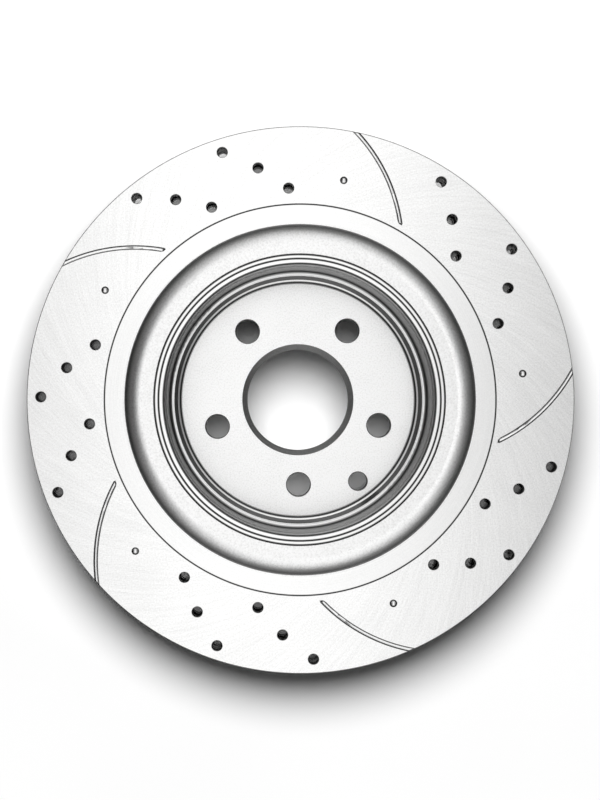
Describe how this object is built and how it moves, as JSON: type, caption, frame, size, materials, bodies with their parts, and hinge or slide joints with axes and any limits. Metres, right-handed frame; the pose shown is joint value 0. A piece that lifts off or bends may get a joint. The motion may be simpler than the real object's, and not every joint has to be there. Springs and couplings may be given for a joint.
{
  "type": "ventilated brake disc",
  "caption": "Ventilated, cross-drilled and slotted brake disc with a parking-brake drum inside its hat, seated on a car's wheel hub.",
  "frame": {"origin": "on the disc's axis, at the wheel-side face of the hat, which the disc lies on", "axes": "+Z along the disc's axis, from the wheel side to the inboard side"},
  "size_m": [0.35, 0.35, 0.047],
  "materials": {
    "ground_face": "silver zinc-flake coating over ground friction faces, fine crossed grinding marks",
    "coated_casting": "silver zinc-flake coating over as-cast iron, fine grain",
    "turned_coating": "silver zinc-flake coating over lathe-turned iron, fine circular marks",
    "coated_flange": "silver zinc-flake coating over a faced flange, satin with a fine grain"
  },
  "bodies": {
    "root": {"inboard_friction_plate": "ground_face", "outboard_friction_plate": "ground_face", "plain_land": "turned_coating", "bowl_wall": "coated_casting", "bowl_floor": "coated_casting", "drum_lip": "turned_coating", "parking_drum": "turned_coating", "hat_shoulder": "turned_coating", "mounting_flange": "coated_flange", "hub_pilot_ring": "coated_flange", "cooling_vanes_1": "coated_casting", "cooling_vanes_2": "coated_casting", "cooling_vanes_3": "coated_casting", "cooling_vanes_4": "coated_casting", "cooling_vanes_5": "coated_casting", "cooling_vanes_6": "coated_casting"}
  },
  "joints": []
}
